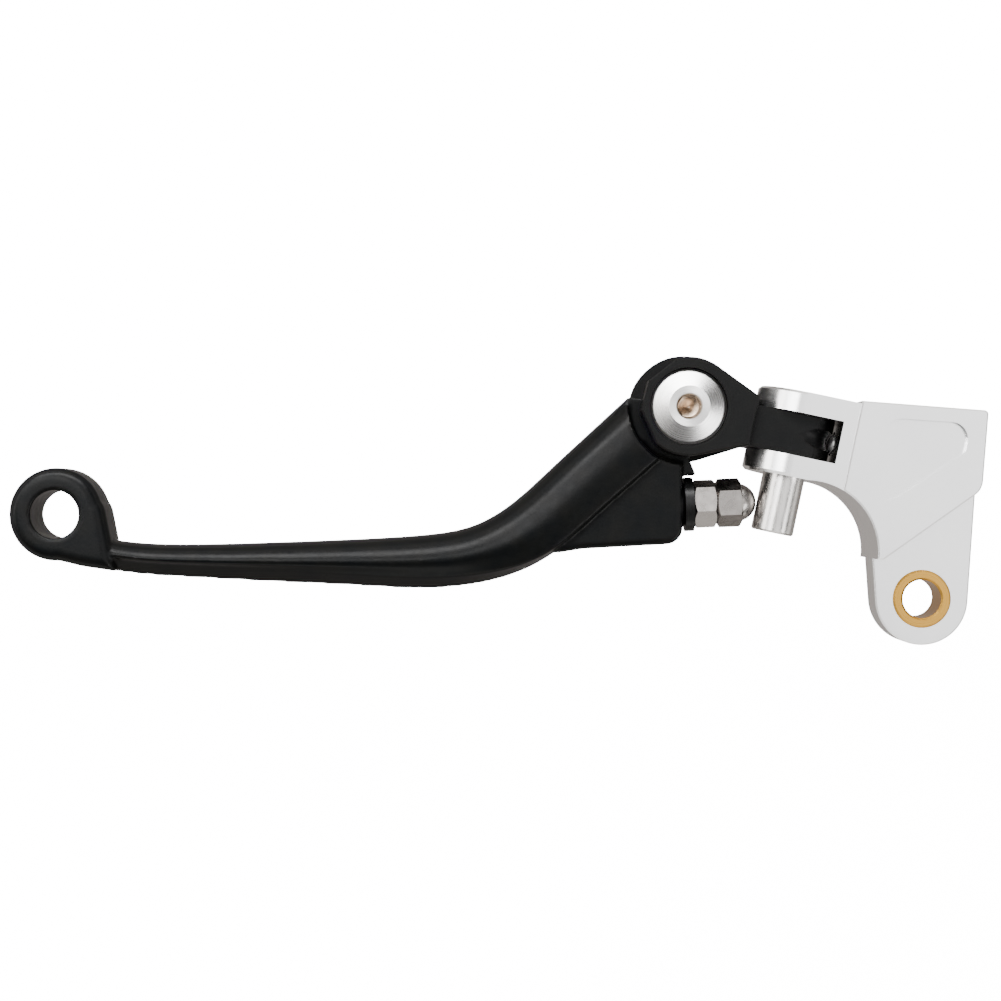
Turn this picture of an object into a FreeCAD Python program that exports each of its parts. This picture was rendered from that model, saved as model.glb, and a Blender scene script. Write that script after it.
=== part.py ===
"""Folding, adjustable clutch lever: a machined perch arm with a forged blade on a folding link.

The origin is the centre of the perch bush. +Z runs along the perch pivot, +X is away from the
blade and +Y is away from the handlebar. Millimetres.
"""
import FreeCAD, Part
import math
import os

os.makedirs("parts", exist_ok=True)
V = FreeCAD.Vector
Y, Z = V(0, 1, 0), V(0, 0, 1)

# ---- fits, each on the radius or on one side ----
press = 0.01             # sleeves, pins and threads that do not turn
running = 0.05           # a shaft that turns in its hole
side_gap = 0.1           # faces that slide past each other
clear = 0.3              # faces that never touch

# ---- perch arm ----
bore_r = 3.6             # the perch bolt's bore
bush_wall = 1.85
bush_len = 8.0
lobe_r = 8.7
lobe_t = 7.2
lobe_taper = 4.0         # degrees that each side of the lobe leans outwards
block_t = 17.0
block_rise = 0.47        # the block's left top corner above the fork's upper shoulder
block_right = 11.4
block_right_low = 10.2
step_left_y = 7.6        # where the block's sloping step meets the lobe's left side
step_slope = 33.5        # degrees
relief_r = 13.3          # hollow under the fork that clears the grip side
relief_start = 3.4
fork_skirt = 6.0         # the fork's lower side before the hollow is cut
block_slope = 1.8        # the block's top falls this much to the right
block_corner_r = 0.8
step_corner_r = 3.5
nose_bevel = 0.5
pocket_depth = 1.0
edge_bevel = 0.3

# ---- fork and fold pin ----
fork_x = -23.78          # middle of the fork, on the pin's axis
fork_y = 30.83
fork_lean = 12.0
fork_r = 8.1
fork_root = 10.2
ear_t = 4.0
slot_w = 8.0
slot_end = 7.7
pin_r = 4.0
pin_below = 10.8         # pin left standing out of the lower ear as the reach stop
pin_shy = 0.6

# ---- detent ----
ball_r = 2.25
ball_proud = 1.1
detent_hole = 9.0
detent_wire = 0.5

# ---- fold link ----
link_len = 21.05         # pin's axis to screw's axis, along the fork
link_offset = 0.81       # the same, across the fork
ring_r = 9.2
lower_ring_r = 10.2
ring_flat = 8.4
link_half_t = 8.5
gap_half = 3.6           # half of the space between the link's ears
tongue_half_t = 6.5
tongue_end_r = 7.35
shoulder_u = 8.5         # where the link swells out to full thickness, from the pin's axis
link_bush_wall = 0.6
web_start = 4.2          # the web joins the ears from here towards the fork

# ---- pivot screw ----
shank_r = 4.0
thread_r = 3.0
head_r = 7.1
head_gap = 0.12
head_seat = 5.7
head_rim = 7.7
head_top = 9.3
head_flat_r = 3.8
hex_af = 4.0
hex_depth = 2.6
nut_af = 10.0
nut_t = 3.0
nut_dish = 0.9           # the nut's corners are turned off by this much below

# ---- blade ----
blade_reach = 118.6      # pivot screw to the middle of the tip eye, along X
tip_drop = 20.1
tip_r = 8.75
tip_hole_r = 4.55
tip_half_t = 5.4
tip_rim = 2.0
eye_half_t = 3.0
eye_r = 8.0
blade_bush_wall = 1.2
ring_clear_r = 10.6      # the blade's full thickness begins outside this circle
rib_start_r = 11.0
root_start = 167.0       # direction where the blade leaves its eye, clear of the web when folded
plate_half_t = 4.4
crease_in = 2.2          # width of the grip's drafted rear wall
crease_height = 0.62     # of the half thickness, along the grip
grip_sections = 25
rib_wall = 0.7           # the same two sizes on the neck's rib, which stands above the wing
rib_height = 0.86
washer_t = 0.5

# ---- reach adjuster ----
adjuster_lean = 2.3
stop_gap = 0.1
stop_below = 6.6         # where the dome bears on the fold pin, below the fork
dome_r = 3.6
dome_len = 2.85
nut_af_m5 = 8.0
cap_hex_len = 4.7
jam_len = 4.25
nut_space = 0.1
spacer_r = 5.1
spacer_t = 1.7
stud_r = 2.5
stud_in = 15.0
boss_r = 4.2
boss_proud = 0.5

# ---- return spring ----
coil_wire = 0.9
coil_turns = 2.5
coil_pitch = 1.15
leg_angle = -60.0        # direction of the leg that pushes the blade
leg_rise = 1.0           # how far the leg stands into the blade's eye
coil_r = 6.9
coil_points = 24         # points on each turn of a coil's centre line

# ---- cable seat in the block's underside ----
nipple_r = 4.1
nipple_in = 9.8          # from the block's right side
nipple_down = 9.2        # from the block's top
nipple_top = 3.5
cable_slot_w = 2.4

# ---- worked out from the sizes above ----
bush_r = bore_r + bush_wall
fork_half_w = slot_w / 2 + ear_t
lean = math.radians(fork_lean)
E1 = V(math.cos(lean), -math.sin(lean), 0)
E2 = V(math.sin(lean), math.cos(lean), 0)
F = V(fork_x, fork_y, 0)
S = F - E1 * link_len + E2 * link_offset
block_top = (F + E1 * fork_root + E2 * fork_half_w).y + block_rise
nipple_x, nipple_y = block_right - nipple_in, block_top - nipple_down
ball_u = slot_end - ball_proud + ball_r
blade_bush_r = shank_r + running + blade_bush_wall
tip = V(S.x - blade_reach, S.y - tip_drop, 0)


def at(u, v):
    """A point given along and across the fork, from its middle."""
    return F + E1 * u + E2 * v


def cylinder(r, base, direction, length):
    return Part.makeCylinder(r, length, base, direction)


def tube(r_out, r_in, base, direction, length):
    return cylinder(r_out, base, direction, length).cut(cylinder(r_in, base, direction, length))


def corner(prev, here, nxt, r):
    """Start, middle and end of the arc of radius r that rounds the corner `here`."""
    a, b = (prev - here).normalize(), (nxt - here).normalize()
    half = a.getAngle(b) / 2
    middle = here + (a + b).normalize() * (r / math.sin(half))
    return here + a * (r / math.tan(half)), middle + (here - middle).normalize() * r, \
        here + b * (r / math.tan(half))


def outline(corners, z=0.0):
    """A closed wire through (point, corner radius) pairs; radius 0 is a sharp corner."""
    points = [V(p.x, p.y, z) for p, _ in corners]
    wire, ends = [], []
    for i, (_, r) in enumerate(corners):
        here, nxt = points[i], points[(i + 1) % len(points)]
        ends.append(corner(points[i - 1], here, nxt, r) if r else (here, here, here))
    for i, (start, middle, end) in enumerate(ends):
        if corners[i][1]:
            wire.append(Part.Arc(start, middle, end).toShape())
        wire.append(Part.makeLine(end, ends[(i + 1) % len(ends)][0]))
    return Part.Wire(wire)


def plate(corners, low, high):
    return Part.Face(outline(corners, low)).extrude(V(0, 0, high - low))


def hexagon(af, base, direction, length, turn=0.0):
    """A hexagonal bar with its axis on `direction` and a flat facing +Z when turn is 0."""
    d = V(direction).normalize()
    up = Z if abs(d.dot(Z)) < 0.9 else Y
    side = d.cross(up).normalize()
    points = []
    for k in range(7):
        angle = math.radians(60 * k + turn)
        points.append(base + (side * math.cos(angle) + up * math.sin(angle)) * (af / math.sqrt(3)))
    return Part.Face(Part.makePolygon(points)).extrude(d * length)


def edges_on_level(shape, z, near=None, reach=0.0):
    """Edges that lie in the plane at height z, within `reach` of a point if one is given."""
    found = []
    for e in shape.Edges:
        box = e.BoundBox
        if abs(box.ZMin - z) < 1e-4 and abs(box.ZMax - z) < 1e-4:
            if near is None or box.Center.distanceToPoint(near) < reach:
                found.append(e)
    return found


# ---- perch arm ----
def relief_cylinder():
    """The round hollow from the fork's lower face to the lobe's left side."""
    a = at(relief_start, -fork_half_w)
    b = V(-lobe_r - step_left_y * math.tan(math.radians(lobe_taper)), step_left_y, 0)
    chord = b - a
    depth = math.sqrt(relief_r ** 2 - (chord.Length / 2) ** 2)
    middle = (a + b) * 0.5 + V(chord.y, -chord.x, 0).normalize() * depth
    return cylinder(relief_r, middle - Z * block_t, Z, 2 * block_t)


def lobe_corners():
    taper = math.radians(lobe_taper)
    foot = V(lobe_r * math.cos(taper), -lobe_r * math.sin(taper), 0)
    rise = step_left_y + (lobe_r + block_right_low) * math.tan(math.radians(step_slope))
    out = foot + V(math.sin(taper), math.cos(taper), 0) * rise
    return foot, out


def pivot_body():
    foot, out = lobe_corners()
    lobe = plate([(foot, 0), (out, 0), (V(-out.x, out.y, 0), 0), (V(-foot.x, foot.y, 0), 0)],
                 -lobe_t / 2, lobe_t / 2)
    lobe = lobe.fuse(cylinder(lobe_r, Z * (-lobe_t / 2), Z, lobe_t))
    left = V(-lobe_r - step_left_y * math.tan(math.radians(lobe_taper)), step_left_y, 0)
    right = left + V(1, math.tan(math.radians(step_slope)), 0) * (block_right_low - left.x)
    shoulder = at(fork_root, fork_half_w)
    block = plate([(V(shoulder.x + 0.1, block_top, 0), 0), (V(block_right, block_top - block_slope, 0), block_corner_r),
                   (right, step_corner_r), (left + V(1.1, -0.1, 0), 0.4), (left, 0),
                   (at(fork_root, -fork_half_w - fork_skirt), 0), (shoulder, 0)],
                  -block_t / 2, block_t / 2)
    nose = cylinder(fork_r, at(0, -fork_half_w), E2, 2 * fork_half_w)
    bar = plate([(at(0, fork_half_w), 0), (at(fork_root, fork_half_w), 0),
                 (at(fork_root, -fork_half_w - fork_skirt), 0), (at(relief_start, -fork_half_w - fork_skirt), 0),
                 (at(relief_start, -fork_half_w), 0), (at(0, -fork_half_w), 0)], -fork_r, fork_r)
    nose_edges = [e for e in nose.Edges if len(e.Vertexes) == 1]
    fork = nose.makeChamfer(nose_bevel, nose_edges).fuse(bar)
    body = lobe.fuse([block, fork]).cut(relief_cylinder()).removeSplitter()
    flats = edges_on_level(body, block_t / 2) + edges_on_level(body, -block_t / 2)
    flats += edges_on_level(body, lobe_t / 2, V(0, 0, lobe_t / 2), lobe_r)
    body = body.makeChamfer(edge_bevel, flats)
    for cutter in (slot_cutter(), pocket_cutter(), bush_hole(), pin_hole(), detent_bore(),
                   nipple_seat()):
        body = body.cut(cutter)
    return body


def slot_cutter():
    reach = fork_r + 5
    return plate([(at(-reach, -slot_w / 2), 0), (at(slot_end, -slot_w / 2), 0),
                  (at(slot_end, slot_w / 2), 0), (at(-reach, slot_w / 2), 0)], -block_t, block_t)


def pocket_cutter():
    """Shallow rounded triangle machined in the block's upper face."""
    top_right = V(block_right, block_top, 0)
    corners = [(top_right + V(-19.4, -3.1, 0), 3.2), (top_right + V(-3.2, -4.2, 0), 3.2),
               (top_right + V(-4.4, -9.8, 0), 2.2), (top_right + V(-19.4, -19.6, 0), 3.2),
               (top_right + V(-22.7, -14.4, 0), 1.8), (top_right + V(-19.5, -10.4, 0), 2.4)]
    floor = block_t / 2 - pocket_depth
    return plate(corners, floor, block_t)


def bush_hole():
    return cylinder(bush_r + press, Z * -block_t, Z, 2 * block_t)


def pin_hole():
    return cylinder(pin_r + press, at(0, -fork_half_w - 1), E2, 2 * fork_half_w + 2)


def detent_bore():
    return cylinder(ball_r + side_gap, at(slot_end - 1, 0), E1, detent_hole + 1)


def nipple_seat():
    """Blind round seat for the cable's nipple, with a slot that lets the cable in and out."""
    centre = V(nipple_x, nipple_y, -block_t)
    seat = cylinder(nipple_r, centre, Z, block_t + nipple_top)
    slot = Part.makeBox(block_right + 5, cable_slot_w, block_t + cable_slot_w / 2)
    slot.translate(V(nipple_x, nipple_y - cable_slot_w / 2, -block_t))
    return seat.fuse(slot)


def pivot_bush():
    sleeve = tube(bush_r, bore_r, Z * (-bush_len / 2), Z, bush_len)
    rims = edges_on_level(sleeve, bush_len / 2) + edges_on_level(sleeve, -bush_len / 2)
    return sleeve.makeChamfer(0.35, rims)


def fold_pin():
    pin = cylinder(pin_r, at(0, -fork_half_w - pin_below), E2, pin_below + 2 * fork_half_w - pin_shy)
    ends = [e for e in pin.Edges if e.Closed and len(e.Vertexes) == 1]
    return pin.makeChamfer(0.3, ends)


# ---- detent ----
def detent_ball():
    return Part.makeSphere(ball_r, at(ball_u, 0))


def coil(mean_r, wire_r, pitch, turns):
    """A round-wire helix that climbs +Z from the origin, drawn as a smooth curve through its points."""
    count = round(coil_points * turns)
    angles = [2 * math.pi * turns * i / count for i in range(count + 1)]
    curve = Part.BSplineCurve()
    curve.interpolate([V(mean_r * math.cos(a), mean_r * math.sin(a), pitch * a / (2 * math.pi))
                       for a in angles])
    section = Part.Wire(Part.makeCircle(wire_r, V(mean_r, 0, 0), Y))
    return Part.Wire([curve.toShape()]).makePipeShell([section], True, True)


def detent_spring():
    """Pushes the ball out of its bore; its first coil rests on the back of the ball."""
    mean_r = ball_r - side_gap - detent_wire / 2
    start = ball_u + math.sqrt((ball_r + detent_wire / 2 + clear / 3) ** 2 - mean_r ** 2)
    length = slot_end + detent_hole - side_gap - detent_wire / 2 - start
    turns = 5
    spring = coil(mean_r, detent_wire / 2, length / turns, turns)
    spring.rotate(V(), Y, 90)
    spring.rotate(V(), Z, -fork_lean)
    spring.translate(at(start, 0))
    return spring


# ---- fold link ----
def tangent_from(point, centre, r, side):
    """Where the line from `point` touches a circle; side is +1 or -1."""
    span = point - centre
    turn = side * math.acos(r / span.Length)
    n = V(span).normalize()
    c, s = math.cos(turn), math.sin(turn)
    return centre + V(n.x * c - n.y * s, n.x * s + n.y * c, 0) * r


def link_cheek(ring, low, high):
    """One full-thickness layer of the link: its ring and the waist that runs to the fork."""
    top, bottom = at(-shoulder_u, slot_w / 2 + 1.3), at(-shoulder_u, -slot_w / 2 + side_gap)
    waist = plate([(tangent_from(top, S, ring, 1), 0), (top, 0.6), (bottom, 0.6),
                   (tangent_from(bottom, S, ring, -1), 0), (S, 0)], low, high)
    return cylinder(ring, S + Z * low, Z, high - low).fuse(waist).removeSplitter()


def ring_flats(layer):
    """Three flats milled on the upper ear's outer end."""
    for angle in (128, 166, 204):
        away = Part.makeBox(10, 30, 2 * block_t, V(ring_flat, -15, -block_t))
        away.rotate(V(), Z, angle)
        away.translate(S)
        layer = layer.cut(away)
    return layer


def link_tongue():
    edge = slot_w / 2 - side_gap
    slab = plate([(at(-shoulder_u - 0.5, edge), 0), (at(0, edge), 0), (at(0, -edge), 0),
                  (at(-shoulder_u - 0.5, -edge), 0)], -tongue_half_t, tongue_half_t)
    hub = cylinder(tongue_end_r, at(0, -edge), E2, 2 * edge)
    flat = Part.makeBox(200, 200, 2 * tongue_half_t, V(fork_x - 100, fork_y - 100, -tongue_half_t))
    return slab.fuse(hub.common(flat))


def fold_link():
    upper = ring_flats(link_cheek(ring_r, gap_half, link_half_t))
    upper = upper.makeChamfer(edge_bevel, edges_on_level(upper, link_half_t))
    lower = link_cheek(lower_ring_r, -link_half_t, -gap_half)
    lower = lower.makeChamfer(edge_bevel, edges_on_level(lower, -link_half_t))
    web = link_cheek(ring_r, -gap_half, gap_half).cut(
        cylinder(eye_r + clear, S - Z * gap_half, Z, 2 * gap_half))
    swing = plate([(S + V(web_start, 30, 0), 0), (S + V(web_start, -30, 0), 0),
                   (S + V(-30, -30, 0), 0), (S + V(-30, 30, 0), 0)], -gap_half, gap_half)
    link = upper.fuse([lower, web.cut(swing), link_tongue()])
    for cutter in (screw_way(), spring_pocket(), link_bush_hole(), ball_groove()):
        link = link.cut(cutter)
    return link.removeSplitter()


def screw_way():
    sink = cylinder(head_r + head_gap, S + Z * head_seat, Z, link_half_t)
    shank = cylinder(shank_r + press, S - Z * gap_half, Z, 2 * link_half_t)
    thread = cylinder(thread_r + press, S - Z * 2 * link_half_t, Z, 2 * link_half_t)
    return sink.fuse([shank, thread])


def spring_pocket():
    """Ring-shaped room for the return spring in the lower ear, with a notch for its fixed leg."""
    depth = spring_depth()
    floor = -gap_half - depth
    room = tube(coil_r + coil_wire / 2 + clear, coil_r - coil_wire / 2 - clear,
                S + Z * floor, Z, depth + 0.01)
    return room


def link_bush_hole():
    r = pin_r + running + link_bush_wall + press
    return cylinder(r, at(0, -slot_w), E2, 2 * slot_w)


def ball_groove():
    """Track round the tongue's end that the detent ball runs in, from straight up to straight down."""
    end = plate([(at(0, -slot_w), 0), (at(2 * fork_root, -slot_w), 0), (at(2 * fork_root, slot_w), 0),
                 (at(0, slot_w), 0)], -block_t, block_t)
    return Part.makeTorus(ball_u, ball_r + side_gap, F, E2).common(end)


def link_bush():
    edge = slot_w / 2 - side_gap
    return tube(pin_r + running + link_bush_wall, pin_r + running, at(0, -edge), E2, 2 * edge)


# ---- pivot screw and what turns on it ----
def pivot_screw():
    cone = Part.makeCone(head_r, head_flat_r, head_top - head_rim, S + Z * head_rim, Z)
    rim = cylinder(head_r, S + Z * head_seat, Z, head_rim - head_seat)
    shank = cylinder(shank_r, S - Z * (gap_half - side_gap), Z, gap_half - side_gap + head_seat)
    thread = cylinder(thread_r, S - Z * (link_half_t + nut_t + 0.8), Z, link_half_t + nut_t)
    socket = hexagon(hex_af, S + Z * (head_top - hex_depth), Z, hex_depth + 1)
    lead_in = Part.makeCone(hex_af / 2, hex_af / 2 + 0.55, 0.55, S + Z * (head_top - 0.5), Z)
    point = Part.makeCone(0.0, hex_af / 2 - 0.1, 1.0, S + Z * (head_top - hex_depth - 1.0), Z)
    return cone.fuse([rim, shank, thread]).cut([socket, lead_in, point]).removeSplitter()


def pivot_nut():
    """Thin hexagon nut, dished below, that clears the link by a running gap."""
    low = -link_half_t - running - nut_t
    nut = hexagon(nut_af, S + Z * low, Z, nut_t)
    corner_r = nut_af / math.sqrt(3)
    dish = Part.makeCone(corner_r - nut_dish, corner_r + nut_dish, 2 * nut_dish / math.sqrt(3),
                         S + Z * low, Z)
    barrel = cylinder(corner_r + nut_dish, S + Z * (low + nut_dish), Z, nut_t)
    shaped = nut.common(dish.fuse(barrel))
    return shaped.cut(cylinder(thread_r + press, S + Z * (low - 1), Z, nut_t + 2))


def thrust_washers():
    """Two flat rings that keep the blade's eye off the link's ears."""
    gap = (gap_half - eye_half_t - washer_t) / 2
    upper = tube(eye_r - 0.5, shank_r + running, S + Z * (eye_half_t + gap), Z, washer_t)
    inner_edge = coil_r - coil_wire / 2 - clear
    lower = tube(inner_edge - 0.2, shank_r + running, S - Z * (eye_half_t + gap + washer_t), Z, washer_t)
    return upper, lower


def blade_bush():
    return tube(blade_bush_r, shank_r + running, S - Z * eye_half_t, Z, 2 * eye_half_t)


def spring_depth():
    return coil_pitch * coil_turns + coil_wire + clear


def return_spring():
    """Torsion spring: its coil lies in the link's lower ear and its leg rises into the blade's eye."""
    spring = coil(coil_r, coil_wire / 2, coil_pitch, coil_turns)
    spring.rotate(V(), Z, leg_angle - 360 * coil_turns)
    spring.translate(S + Z * (-gap_half - spring_depth() + coil_wire / 2 + side_gap))
    return spring.fuse(spring_leg()).removeSplitter()


def spring_leg():
    angle = math.radians(leg_angle)
    foot = S + V(coil_r * math.cos(angle), coil_r * math.sin(angle), 0)
    low = -gap_half - spring_depth() + coil_wire / 2 + side_gap + coil_pitch * coil_turns
    leg = cylinder(coil_wire / 2, foot + Z * low, Z, leg_rise - eye_half_t - low)
    return leg.fuse(Part.makeSphere(coil_wire / 2, foot + Z * low))


# ---- blade ----
def grip_edges():
    """The grip's front and rear edges in plan, as smooth curves with matching parameters.

    Each front point's third value is the half thickness there, and each rear point's third value
    is the width of the drafted wall. The neck is placed from the pivot screw, the rest from the tip.
    """
    neck = [(V(-4.9, 7.5, 6.9), V(4.2, -2.3, rib_wall)), (V(-15.2, -2.0, 6.9), V(-6.4, -11.4, rib_wall)),
            (V(-25.4, -11.4, 6.9), V(-16.9, -20.6, rib_wall)), (V(-33.3, -18.4, 6.7), V(-26.6, -28.6, 1.0)),
            (V(-40.3, -22.3, 6.5), V(-36.3, -32.6, 1.8)), (V(-48.3, -23.9, 6.3), V(-47.1, -34.1, crease_in)),
            (V(-61.6, -24.8, 6.0), V(-61.1, -33.7, crease_in))]
    far = [(V(41.8, -5.3, 5.6), V(42.0, -12.9, crease_in)), (V(26.6, -5.7, 5.2), V(26.6, -12.1, crease_in)),
           (V(13.8, -5.3, 4.9), V(13.6, -11.2, crease_in)), (V(4.3, -3.4, 4.5), V(3.0, -9.3, crease_in))]
    pairs = [(S + a, S + b) for a, b in neck] + [(tip + a, tip + b) for a, b in far]
    steps = [0.0]
    for (a, b), (c, d) in zip(pairs, pairs[1:]):
        steps.append(steps[-1] + ((c + d) * 0.5 - (a + b) * 0.5).Length)
    curves = []
    for side in (0, 1):
        curve = Part.BSplineCurve()
        curve.interpolate(Points=[pair[side] for pair in pairs], Parameters=steps)
        curves.append(curve)
    return curves[0], curves[1], steps[-1]


def section(front_point, rear_point):
    """A rounded front, a crowned face and a drafted rear wall, the same above and below."""
    half_t, wall_in = front_point.z, rear_point.z
    front, rear = V(front_point.x, front_point.y, 0), V(rear_point.x, rear_point.y, 0)
    across = rear - front
    width = across.Length
    across.normalize()
    blend = (wall_in - rib_wall) / (crease_in - rib_wall)
    wall_share = rib_height + (crease_height - rib_height) * blend
    crease = rear - across * wall_in
    shape = []
    for s in (1, -1):
        top = crease + Z * (s * wall_share * half_t)
        crown = [front, front + across * (0.07 * width) + Z * (s * 0.52 * half_t),
                 front + across * (0.25 * width) + Z * (s * 0.88 * half_t),
                 front + across * (0.5 * width) + Z * (s * half_t), top]
        fall = across * width * 0.3 - Z * (s * (1 - wall_share) * half_t)
        curve = Part.BSplineCurve()
        curve.interpolate(crown, InitialTangent=Z * (s * half_t), FinalTangent=fall)
        shape.append(curve.toShape())
        shape.append(Part.makeLine(top, rear))
    upper, wall_up, lower, wall_low = shape
    return Part.Wire([upper, wall_up, wall_low, lower])


def grip():
    front, rear, length = grip_edges()
    places = [length * i / (grip_sections - 1) for i in range(grip_sections)]
    wires = [section(front.value(t), rear.value(t)) for t in places]
    return Part.makeLoft(wires, True, False)


def tip_eye():
    """The round eye and the flank that runs down from it to the grip."""
    disc = cylinder(tip_r, tip - Z * tip_half_t, Z, 2 * tip_half_t)
    flank = plate([(tip + V(4.3, 7.6, 0), 0), (tip + V(9.1, 1.6, 0), 4.0), (tip + V(10.3, -4.4, 0), 0),
                   (tip + V(11.2, -10.7, 0), 0), (tip + V(5.0, -9.8, 0), 0), (tip + V(0.5, -8.7, 0), 0),
                   (tip, 0)],
                  -tip_half_t, tip_half_t)
    eye = disc.fuse(flank).removeSplitter()
    rims = edges_on_level(eye, tip_half_t) + edges_on_level(eye, -tip_half_t)
    return eye.makeFillet(tip_rim, rims)


def adjuster_frame():
    """The adjuster's direction, and where the dome's round centre lies, just off the fold pin."""
    angle = math.radians(adjuster_lean)
    d = V(math.cos(angle), math.sin(angle), 0)
    dome = at(-(pin_r + stop_gap + dome_r), -fork_half_w - stop_below)
    return d, dome


def adjuster_point(back):
    """A point on the adjuster's axis, `back` behind the dome's round centre."""
    d, dome = adjuster_frame()
    return dome - d * back


def adjuster_marks():
    """Distances behind the dome's centre to each joint face along the adjuster."""
    dome_base = dome_len - dome_r
    cap_base = dome_base + cap_hex_len
    jam_front = cap_base + nut_space
    jam_back = jam_front + jam_len
    boss_face = jam_back + nut_space + spacer_t
    return dome_base, cap_base, jam_front, jam_back, boss_face


def blade_plate():
    """The lower-level wing that carries the adjuster, with its round boss."""
    d, _ = adjuster_frame()
    face = adjuster_marks()[-1]
    edge = adjuster_point(face + boss_proud)
    wing = plate([(V(edge.x, S.y - 8, 0), 0), (V(edge.x, edge.y - 7.3, 0), 3.2), (S + V(-19.6, -26.6, 0), 0),
                  (S + V(-24.5, -27.4, 0), 0), (S + V(-27.0, -24.0, 0), 0), (S + V(-10.0, -6.0, 0), 0)],
                 -plate_half_t, plate_half_t)
    rims = edges_on_level(wing, plate_half_t) + edges_on_level(wing, -plate_half_t)
    wing = wing.makeChamfer(0.6, rims)
    return wing.fuse(cylinder(boss_r, adjuster_point(face + boss_proud + 4), d, boss_proud + 4))


def lever_blade():
    d, _ = adjuster_frame()
    face = adjuster_marks()[-1]
    body = grip().cut(cylinder(rib_start_r, S - Z * 20, Z, 40))
    body = body.fuse(tip_eye()).fuse(blade_plate())
    body = body.cut(cylinder(ring_clear_r, S - Z * 20, Z, 40))
    swing_side = V(math.cos(math.radians(root_start)), math.sin(math.radians(root_start)), 0)
    root = plate([(S + V(-10.6, 2.0, 0), 0), (S + swing_side * (eye_r - 2), 0), (S + V(2, -6, 0), 0),
                  (S + V(0.6, -9.6, 0), 0), (S + V(1.9, -12.8, 0), 0), (S + V(-1.5, -12.8, 0), 0),
                  (S + V(-16, -12, 0), 0),
                  (S + V(-16, -3.2, 0), 0)], -eye_half_t, eye_half_t)
    eye = cylinder(eye_r, S - Z * eye_half_t, Z, 2 * eye_half_t).fuse(root.common(
        cylinder(ring_clear_r + 3, S - Z * eye_half_t, Z, 2 * eye_half_t)))
    body = body.fuse(eye)
    body = body.cut(cylinder(blade_bush_r + press, S - Z * 20, Z, 40))
    body = body.cut(cylinder(tip_hole_r, tip - Z * 20, Z, 40))
    body = body.cut(cylinder(stud_r + running, adjuster_point(face + stud_in), d, stud_in + 5))
    return body.cut(leg_track()).removeSplitter()


def leg_track():
    """Curved slot under the eye in which the return spring's leg stays through the whole swing."""
    wide = coil_wire / 2 + clear
    return tube(coil_r + wide, coil_r - wide, S - Z * (eye_half_t + 1), Z, 1 + leg_rise + clear)


# ---- reach adjuster ----
def adjuster_spacer():
    d, _ = adjuster_frame()
    face = adjuster_marks()[-1]
    return tube(spacer_r, stud_r + running, adjuster_point(face), d, spacer_t)


def jam_nut():
    d, _ = adjuster_frame()
    back = adjuster_marks()[3]
    nut = hexagon(nut_af_m5, adjuster_point(back), d, jam_len, turn=12.0)
    return bevelled(nut, nut_af_m5, adjuster_point(back), d, jam_len).cut(
        cylinder(stud_r + running, adjuster_point(back + 1), d, jam_len + 2))


def bevelled(nut, af, base, d, length):
    """The hexagon with its six corners turned off at both ends."""
    r = af / math.sqrt(3)
    start = Part.makeCone(r - 0.75, r, 0.45, base, d)
    middle = cylinder(r, base + d * 0.45, d, length - 0.9)
    end = Part.makeCone(r, r - 0.75, 0.45, base + d * (length - 0.45), d)
    return nut.common(start.fuse([middle, end]))


def adjuster_stud():
    d, _ = adjuster_frame()
    face = adjuster_marks()[-1]
    return cylinder(stud_r, adjuster_point(face + stud_in - 3.5), d, face + stud_in - 3.5 + 0.8)


def cap_nut():
    d, dome = adjuster_frame()
    dome_base, cap_base = adjuster_marks()[:2]
    hexed = hexagon(nut_af_m5, adjuster_point(cap_base), d, cap_base - dome_base)
    hexed = bevelled(hexed, nut_af_m5, adjuster_point(cap_base), d, cap_base - dome_base)
    ball = Part.makeSphere(dome_r, dome).common(
        cylinder(2 * dome_r, adjuster_point(dome_base + 0.5), d, 2 * dome_r))
    shank = stud_r + running
    return hexed.fuse(ball).cut(cylinder(shank, adjuster_point(cap_base + 1), d, cap_base + 2.0))


nodes = {
    "pivot_body": pivot_body, "pivot_bush": pivot_bush, "fold_pin": fold_pin,
    "detent_ball": detent_ball, "detent_spring": detent_spring, "fold_link": fold_link,
    "link_bush": link_bush, "pivot_screw": pivot_screw, "pivot_nut": pivot_nut,
    "thrust_washer_upper": lambda: thrust_washers()[0],
    "thrust_washer_lower": lambda: thrust_washers()[1],
    "return_spring": return_spring, "blade_bush": blade_bush, "lever_blade": lever_blade,
    "adjuster_spacer": adjuster_spacer, "jam_nut": jam_nut, "adjuster_stud": adjuster_stud,
    "cap_nut": cap_nut,
}

for name, make in nodes.items():
    solid = make()
    print(name, "valid" if solid.isValid() else "NOT VALID", len(solid.Solids), round(solid.Volume, 1))
    solid.exportStep("parts/" + name + ".step")
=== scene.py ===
import math

import bmesh
import bpy
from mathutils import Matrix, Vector


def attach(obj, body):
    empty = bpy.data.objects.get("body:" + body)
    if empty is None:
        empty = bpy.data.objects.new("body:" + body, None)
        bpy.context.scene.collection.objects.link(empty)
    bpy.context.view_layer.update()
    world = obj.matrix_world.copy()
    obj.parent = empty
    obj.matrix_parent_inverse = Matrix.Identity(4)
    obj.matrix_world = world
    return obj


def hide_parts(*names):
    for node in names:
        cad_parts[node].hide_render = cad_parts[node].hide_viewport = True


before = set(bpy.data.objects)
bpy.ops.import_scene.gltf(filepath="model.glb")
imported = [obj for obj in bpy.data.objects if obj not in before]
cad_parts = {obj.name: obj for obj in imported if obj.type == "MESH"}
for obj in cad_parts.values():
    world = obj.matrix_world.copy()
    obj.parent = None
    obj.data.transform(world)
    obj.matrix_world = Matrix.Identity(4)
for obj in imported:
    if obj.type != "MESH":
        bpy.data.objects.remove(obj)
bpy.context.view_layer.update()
MM = 0.001


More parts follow.
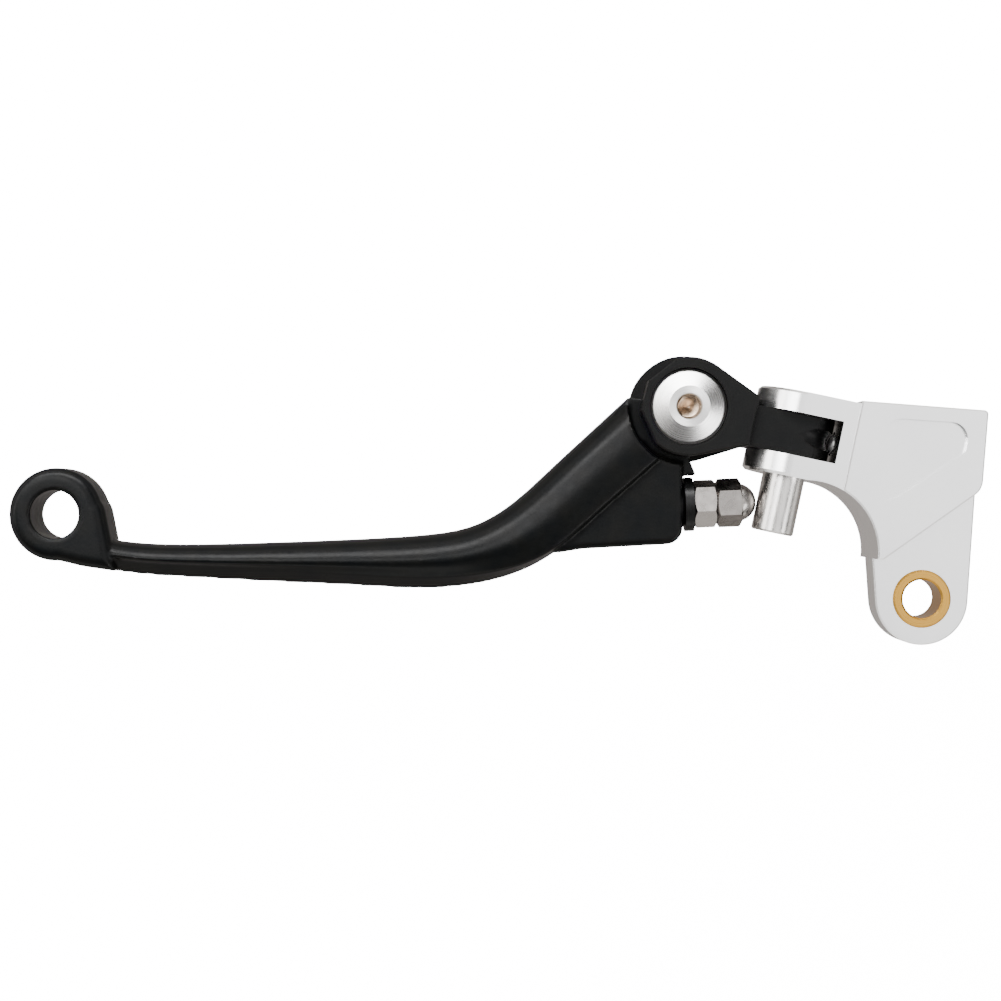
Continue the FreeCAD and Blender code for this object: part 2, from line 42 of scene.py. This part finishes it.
# ---- camera, floor and light ----
CAMERA_AT = Vector((-79.2, 18.5, 347.1)) * MM
SENSOR = 36.0         # mm
LENS = 65.7           # mm
NEAR_CLIP = 0.01      # m
FLOOR_Z = -0.175      # m, below the blade when it is folded down
FLOOR_HALF = 3.0      # m
FLOOR_GLOW = 14.0     # strength of its own light
WHITE = (1, 1, 1)

PERCH = (0, 0, 0)             # mm, the middle of the perch bore
SCREW = (-44.2, 36.0, 0.0)    # mm, a point on the pivot screw's axis
BALL = (-15.1, 29.0, 0.0)     # mm, the middle of the detent ball


def add_camera():
    """Looks straight down on the lever's upper face, as on a catalogue page."""
    data = bpy.data.cameras.new("camera")
    data.sensor_width = SENSOR
    data.lens = LENS
    data.clip_start = NEAR_CLIP
    camera = bpy.data.objects.new("camera", data)
    camera.location = CAMERA_AT
    bpy.context.scene.collection.objects.link(camera)
    bpy.context.scene.camera = camera


def add_floor():
    """A lit white table, seen by the camera but kept out of the metal's reflections."""
    bm = bmesh.new()
    bmesh.ops.create_grid(bm, x_segments=2, y_segments=2, size=FLOOR_HALF)
    bmesh.ops.translate(bm, verts=bm.verts, vec=(CAMERA_AT.x, CAMERA_AT.y, FLOOR_Z))
    floor = mesh_object("floor", bm)
    floor.data.materials.append(floor_paper())
    floor.visible_glossy = False
    floor.visible_diffuse = False


def add_softbox(name, at, size, radiance, colour):
    """A rectangular light of the given radiance, aimed at the middle of the lever."""
    data = bpy.data.lights.new(name, "AREA")
    data.shape = "RECTANGLE"
    data.size, data.size_y = size
    data.energy = math.pi * size[0] * size[1] * radiance
    data.color = colour
    light = bpy.data.objects.new(name, data)
    light.location = at
    aim = Vector((CAMERA_AT.x, CAMERA_AT.y, 0)) - Vector(at)
    light.rotation_euler = aim.to_track_quat("-Z", "Y").to_euler()
    bpy.context.scene.collection.objects.link(light)


# name, place in metres, size in metres, radiance, colour
SOFTBOXES = (
    ("softbox_over", (0.35, 0.42, 1.25), (1.4, 1.1), 2.25, WHITE),
    ("softbox_tip", (-0.62, 0.42, 1.2), (0.5, 0.9), 11.0, WHITE),
    ("softbox_far", (-0.25, 1.15, 0.8), (1.7, 0.5), 19.0, WHITE),
    ("softbox_left", (-1.2, 0.25, 0.75), (0.9, 0.5), 7.0, (1.0, 0.98, 0.95)),
    ("softbox_right", (0.8, -0.5, 0.75), (0.8, 0.4), 8.0, WHITE),
    ("softbox_near", (-0.05, -1.0, 0.55), (1.2, 0.25), 0.8, WHITE),
)


def add_lights():
    """The softboxes, and the room that the metal reflects."""
    for softbox in SOFTBOXES:
        add_softbox(*softbox)
    add_studio()


# brightness of the room, and its colours from straight down (0) through level (0.5) to straight up (1)
ROOM_GLOW = 2.4
ROOM = ((0.0, (0.19, 0.175, 0.165)), (0.38, (0.19, 0.18, 0.17)), (0.46, (0.95, 0.93, 0.9)),
        (0.55, (0.95, 0.94, 0.92)), (0.62, (0.06, 0.06, 0.06)), (1.0, (0.12, 0.12, 0.12)))


def add_studio():
    """The room: a dim ceiling, bright walls at table height and the grey of the table below."""
    world = bpy.data.worlds.new("studio")
    world.use_nodes = True
    tree = world.node_tree
    place = tree.nodes.new("ShaderNodeTexCoord")
    split = tree.nodes.new("ShaderNodeSeparateXYZ")
    height = tree.nodes.new("ShaderNodeMapRange")
    height.inputs["From Min"].default_value = -1.0
    ramp = tree.nodes.new("ShaderNodeValToRGB")
    tree.links.new(place.outputs["Generated"], split.inputs["Vector"])
    tree.links.new(split.outputs["Z"], height.inputs["Value"])
    tree.links.new(height.outputs["Result"], ramp.inputs["Fac"])
    tree.links.new(ramp.outputs["Color"], tree.nodes["Background"].inputs["Color"])
    tree.nodes["Background"].inputs["Strength"].default_value = ROOM_GLOW
    set_stops(ramp, ROOM)
    bpy.context.scene.world = world


def set_stops(ramp, stops):
    """Fills a colour ramp from (position, colour) pairs."""
    elements = ramp.color_ramp.elements
    for element, (at, colour) in zip(elements, (stops[0], stops[-1])):
        element.position, element.color = at, (*colour, 1)
    for at, colour in stops[1:-1]:
        elements.new(at).color = (*colour, 1)


def mesh_object(name, bm):
    """An object made from a bmesh, which is used up."""
    mesh = bpy.data.meshes.new(name)
    bm.to_mesh(mesh)
    bm.free()
    obj = bpy.data.objects.new(name, mesh)
    bpy.context.scene.collection.objects.link(obj)
    return obj


# ---- materials ----
def new_material(name, metallic):
    """A material, its node tree and its main shader, whose colour and roughness are still to be set."""
    mat = bpy.data.materials.new(name)
    mat.use_nodes = True
    tree = mat.node_tree
    shader = tree.nodes["Principled BSDF"]
    shader.inputs["Metallic"].default_value = metallic
    return mat, tree, shader


# noise seldom leaves this part of 0..1
NOISE_LOW, NOISE_HIGH = 0.3, 0.7


def noise(tree, scale, detail=3.0, squeeze=(1, 1, 1), turn=0.0):
    """Noise on Object coordinates, squeezed along each axis and turned about the Z axis."""
    place = tree.nodes.new("ShaderNodeTexCoord")
    mapping = tree.nodes.new("ShaderNodeMapping")
    mapping.inputs["Rotation"].default_value = (0, 0, turn)
    mapping.inputs["Scale"].default_value = squeeze
    texture = tree.nodes.new("ShaderNodeTexNoise")
    texture.inputs["Scale"].default_value = scale
    texture.inputs["Detail"].default_value = detail
    tree.links.new(place.outputs["Object"], mapping.inputs["Vector"])
    tree.links.new(mapping.outputs["Vector"], texture.inputs["Vector"])
    return texture.outputs["Fac"]


def spread(tree, value, low, high):
    """Turns noise into values from low to high."""
    remap = tree.nodes.new("ShaderNodeMapRange")
    remap.inputs["From Min"].default_value = NOISE_LOW
    remap.inputs["From Max"].default_value = NOISE_HIGH
    remap.inputs["To Min"].default_value = low
    remap.inputs["To Max"].default_value = high
    tree.links.new(value, remap.inputs["Value"])
    return remap.outputs["Result"]


def tint(tree, value, dark, light):
    """Turns noise into colours from dark to light."""
    ramp = tree.nodes.new("ShaderNodeValToRGB")
    ramp.color_ramp.elements[0].position = NOISE_LOW
    ramp.color_ramp.elements[0].color = (*dark, 1)
    ramp.color_ramp.elements[1].position = NOISE_HIGH
    ramp.color_ramp.elements[1].color = (*light, 1)
    tree.links.new(value, ramp.inputs["Fac"])
    return ramp.outputs["Color"]


def emboss(tree, shader, value, depth_mm, strength):
    """Raises the surface by a pattern."""
    bump = tree.nodes.new("ShaderNodeBump")
    bump.inputs["Strength"].default_value = strength
    bump.inputs["Distance"].default_value = depth_mm * MM
    tree.links.new(value, bump.inputs["Height"])
    tree.links.new(bump.outputs["Normal"], shader.inputs["Normal"])


def in_mm(tree, metres):
    """Turns a length in metres into mm."""
    scale = tree.nodes.new("ShaderNodeMath")
    scale.operation = "DIVIDE"
    scale.inputs[1].default_value = MM
    tree.links.new(metres, scale.inputs[0])
    return scale.outputs["Value"]


def radius_from(tree, centre):
    """Distance in mm from a line along Z through a point given in mm."""
    place = tree.nodes.new("ShaderNodeTexCoord")
    shift = tree.nodes.new("ShaderNodeVectorMath")
    shift.operation = "SUBTRACT"
    shift.inputs[1].default_value = tuple(c * MM for c in centre)
    flat = tree.nodes.new("ShaderNodeVectorMath")
    flat.operation = "MULTIPLY"
    flat.inputs[1].default_value = (1, 1, 0)
    size = tree.nodes.new("ShaderNodeVectorMath")
    size.operation = "LENGTH"
    tree.links.new(place.outputs["Object"], shift.inputs[0])
    tree.links.new(shift.outputs["Vector"], flat.inputs[0])
    tree.links.new(flat.outputs["Vector"], size.inputs[0])
    return in_mm(tree, size.outputs["Value"])


def distance_from(tree, point):
    """Distance in mm from a point given in mm."""
    place = tree.nodes.new("ShaderNodeTexCoord")
    gap = tree.nodes.new("ShaderNodeVectorMath")
    gap.operation = "DISTANCE"
    gap.inputs[1].default_value = tuple(c * MM for c in point)
    tree.links.new(place.outputs["Object"], gap.inputs[0])
    return in_mm(tree, gap.outputs["Value"])


def rings(tree, radius, density):
    """Turning marks: noise that changes with the radius only."""
    texture = tree.nodes.new("ShaderNodeTexNoise")
    texture.noise_dimensions = "1D"
    texture.inputs["Scale"].default_value = density
    texture.inputs["Detail"].default_value = 4.0
    tree.links.new(radius, texture.inputs["W"])
    return texture.outputs["Fac"]


def zones(tree, value, low, high, stops):
    """Colours by a value that runs from low to high."""
    remap = tree.nodes.new("ShaderNodeMapRange")
    remap.inputs["From Min"].default_value = low
    remap.inputs["From Max"].default_value = high
    ramp = tree.nodes.new("ShaderNodeValToRGB")
    set_stops(ramp, [((at - low) / (high - low), colour) for at, colour in stops])
    tree.links.new(value, remap.inputs["Value"])
    tree.links.new(remap.outputs["Result"], ramp.inputs["Fac"])
    return ramp.outputs["Color"]


def floor_paper():
    """Lit white paper, a little uneven."""
    mat, tree, shader = new_material("floor_paper", metallic=0.0)
    shader.inputs["Base Color"].default_value = (0.9, 0.9, 0.9, 1)
    shader.inputs["Roughness"].default_value = 0.9
    tree.links.new(tint(tree, noise(tree, scale=6.0), dark=(0.97, 0.97, 0.97), light=WHITE),
                   shader.inputs["Emission Color"])
    shader.inputs["Emission Strength"].default_value = FLOOR_GLOW
    return mat


def powder_black():
    """The blade's coat: nearly black, satin, with a fine orange-peel grain."""
    mat, tree, shader = new_material("powder_black", metallic=0.0)
    shader.inputs["Specular IOR Level"].default_value = 0.1
    tree.links.new(tint(tree, noise(tree, scale=220.0),
                        dark=(0.0010, 0.0013, 0.0017), light=(0.0026, 0.0025, 0.0022)),
                   shader.inputs["Base Color"])
    tree.links.new(spread(tree, noise(tree, scale=700.0), low=0.29, high=0.38),
                   shader.inputs["Roughness"])
    emboss(tree, shader, noise(tree, scale=1800.0, detail=2.0), depth_mm=0.03, strength=0.3)
    return mat


def anodised_black(name, level, roughness):
    """Matte black anodising; level is how strongly it shines."""
    mat, tree, shader = new_material(name, metallic=0.0)
    shader.inputs["Specular IOR Level"].default_value = level
    tree.links.new(tint(tree, noise(tree, scale=160.0),
                        dark=(0.0014, 0.0014, 0.0016), light=(0.0030, 0.0029, 0.0027)),
                   shader.inputs["Base Color"])
    tree.links.new(spread(tree, noise(tree, scale=1500.0), low=roughness - 0.05, high=roughness + 0.05),
                   shader.inputs["Roughness"])
    emboss(tree, shader, noise(tree, scale=3000.0, detail=2.0), depth_mm=0.008, strength=0.3)
    return mat


def milled_aluminium():
    """Satin aluminium with a faint milling grain, and painted shade round the detent ball."""
    mat, tree, shader = new_material("milled_aluminium", metallic=1.0)
    grain = noise(tree, scale=500.0, squeeze=(1, 14, 1), turn=0.2)
    tree.links.new(spread(tree, grain, low=0.19, high=0.26), shader.inputs["Roughness"])
    clean = tint(tree, noise(tree, scale=90.0), dark=(0.84, 0.84, 0.845), light=(0.87, 0.87, 0.865))
    # painted shade: within 8 mm of the ball the base colour drops to near black, standing in for shadow
    # and the black tongue's reflection
    painted_shade_round_ball = zones(tree, distance_from(tree, BALL), low=4.0, high=8.0, stops=(
        (4.0, (0.02, 0.018, 0.016)), (6.8, (0.03, 0.027, 0.024)), (7.9, (1.0, 1.0, 1.0))))
    mix = tree.nodes.new("ShaderNodeMix")
    mix.data_type = "RGBA"
    mix.blend_type = "MULTIPLY"
    mix.inputs["Factor"].default_value = 1.0
    tree.links.new(clean, mix.inputs["A"])
    tree.links.new(painted_shade_round_ball, mix.inputs["B"])
    tree.links.new(mix.outputs["Result"], shader.inputs["Base Color"])
    emboss(tree, shader, grain, depth_mm=0.002, strength=0.15)
    return mat


def turned_stainless():
    """The screw's head: turning marks, a painted highlight on the flat ring and a painted brown shadow
    down the socket.
    """
    mat, tree, shader = new_material("turned_stainless", metallic=1.0)
    radius = radius_from(tree, SCREW)
    marks = rings(tree, radius, density=9.0)
    # painted light: brown painted shadow inside the socket, a painted highlight on the flat ring, then
    # the plainer cone
    tree.links.new(zones(tree, radius, low=0.0, high=8.0, stops=(
        (0.0, (0.40, 0.31, 0.23)), (2.2, (0.36, 0.28, 0.21)), (2.5, (0.80, 0.79, 0.78)),
        (3.7, (0.86, 0.85, 0.84)), (3.9, (0.72, 0.71, 0.70)), (7.1, (0.66, 0.65, 0.64)))),
        shader.inputs["Base Color"])
    tree.links.new(spread(tree, marks, low=0.22, high=0.36), shader.inputs["Roughness"])
    shader.inputs["Anisotropic"].default_value = 0.8
    tangent = tree.nodes.new("ShaderNodeTangent")
    tangent.direction_type = "RADIAL"
    tangent.axis = "Z"
    tree.links.new(tangent.outputs["Tangent"], shader.inputs["Tangent"])
    emboss(tree, shader, marks, depth_mm=0.004, strength=0.35)
    return mat


def brass():
    """Turned brass for the bushes, with its marks centred on the perch bush."""
    mat, tree, shader = new_material("turned_brass", metallic=1.0)
    marks = rings(tree, radius_from(tree, PERCH), density=12.0)
    tree.links.new(tint(tree, marks, dark=(0.42, 0.21, 0.03), light=(0.60, 0.34, 0.07)),
                   shader.inputs["Base Color"])
    tree.links.new(spread(tree, marks, low=0.2, high=0.34), shader.inputs["Roughness"])
    emboss(tree, shader, marks, depth_mm=0.004, strength=0.3)
    return mat


STREAK_TURN = math.radians(12.0)    # the way that streaks run in steel


def steel(name, base, roughness, squeeze=(1, 1, 1)):
    """Drawn or ground steel. Its streaks run along the axis that is squeezed least."""
    mat, tree, shader = new_material(name, metallic=1.0)
    grain = noise(tree, scale=600.0, squeeze=squeeze, turn=STREAK_TURN)
    tree.links.new(spread(tree, grain, low=roughness * 0.8, high=roughness * 1.25),
                   shader.inputs["Roughness"])
    tree.links.new(tint(tree, grain, dark=[c * 0.82 for c in base], light=[c * 1.08 for c in base]),
                   shader.inputs["Base Color"])
    emboss(tree, shader, grain, depth_mm=0.004, strength=0.3)
    return mat


# ---- the forged blade ----
FORGING_GRAIN = 0.33     # mm, the fineness of the blade's skin
WELD = 0.001             # mm, points nearer than this are joined
FORGING_EASE = 6         # rounds of easing that soften its edges
EASE_SHARE = 0.5         # how far each round moves a point towards its neighbours


def forged_blade():
    """The blade with the soft edges that forging and the coat leave."""
    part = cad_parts["lever_blade"]
    bm = bmesh.new()
    bm.from_mesh(part.data)
    bmesh.ops.transform(bm, matrix=part.matrix_world, verts=bm.verts)
    bmesh.ops.remove_doubles(bm, verts=bm.verts, dist=WELD * MM)
    blade = mesh_object("forged_blade", bm)
    skin = blade.modifiers.new("skin", "REMESH")
    skin.mode = "VOXEL"
    skin.voxel_size = FORGING_GRAIN * MM
    skin.use_smooth_shade = True
    ease = blade.modifiers.new("ease", "SMOOTH")
    ease.factor = EASE_SHARE
    ease.iterations = FORGING_EASE
    blade.data.materials.append(powder_black())
    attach(blade, "blade")
    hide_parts("lever_blade")


def dress(names, material):
    """Puts one material on carried-over nodes."""
    for name in names:
        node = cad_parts[name]
        node.data.materials.clear()
        node.data.materials.append(material)


add_camera()
add_floor()
add_lights()

forged_blade()
dress(["fold_link"], anodised_black("anodised_link", level=0.11, roughness=0.42))
dress(["adjuster_spacer"], anodised_black("anodised_spacer", level=0.2, roughness=0.35))
dress(["pivot_body"], milled_aluminium())
dress(["fold_pin"], steel("ground_pin", base=(0.60, 0.58, 0.56), roughness=0.24, squeeze=(9, 0.6, 9)))
dress(["pivot_screw"], turned_stainless())
dress(["jam_nut", "cap_nut", "pivot_nut"],
      steel("nut_stainless", base=(0.30, 0.28, 0.265), roughness=0.28))
dress(["adjuster_stud", "thrust_washer_upper", "thrust_washer_lower", "return_spring", "detent_spring"],
      steel("plain_steel", base=(0.55, 0.55, 0.56), roughness=0.2))
dress(["detent_ball"], steel("ball_steel", base=(0.85, 0.84, 0.82), roughness=0.45))
dress(["pivot_bush", "link_bush", "blade_bush"], brass())
